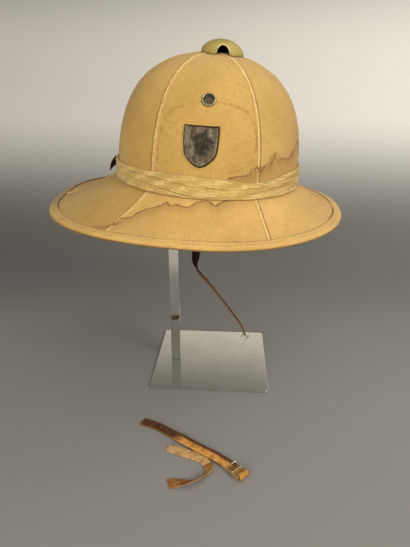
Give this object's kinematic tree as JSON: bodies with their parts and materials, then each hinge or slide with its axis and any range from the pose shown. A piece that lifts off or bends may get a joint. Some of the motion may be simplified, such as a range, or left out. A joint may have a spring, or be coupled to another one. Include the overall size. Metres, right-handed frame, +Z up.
{
  "type": "pith helmet on a display stand",
  "caption": "Cloth-covered pith helmet with wide brim, folded hatband, vent cap and worn shield badge, held on a polished plate and post, with its broken chin strap.",
  "frame": {"origin": "centre of the underside of the stand's square base plate, on the surface it stands on", "axes": "+Z up; the helmet's front faces -X and its rear +X; the side with the shield badge and the hanging strap faces -Y"},
  "size_m": [0.3479, 0.3745, 0.405],
  "materials": {
    "polished_steel": "mirror-polished steel",
    "khaki_canvas": "plain-weave cotton over pith, water-stained",
    "band_canvas": "folded cotton cloth",
    "khaki_paint": "satin khaki paint, worn at its edges",
    "aged_brass": "aged, tarnished",
    "wire_mesh": "woven wire, dull green-grey",
    "tarnished_shield": "worn plating, tarnished and scratched",
    "brown_leather": "worn grain side, rubbed lighter at its edges",
    "torn_leather": "torn flesh side, suede-like"
  },
  "bodies": {
    "root": {"stand_plate": "polished_steel", "stand_post": "polished_steel", "crown": "khaki_canvas", "brim": "khaki_canvas", "brim_binding": "khaki_canvas", "hatband": "band_canvas", "vent_cap": "khaki_paint", "eyelet_near": "aged_brass", "eyelet_far": "aged_brass", "eyelet_mesh_near": "wire_mesh", "eyelet_mesh_far": "wire_mesh", "badge_shield": "tarnished_shield", "strap_front": "brown_leather", "strap_hanging": "brown_leather", "strap_ring": "aged_brass", "strap_fragment": "brown_leather", "strap_torn_strip": "torn_leather", "buckle_frame": "aged_brass"}
  },
  "joints": []
}
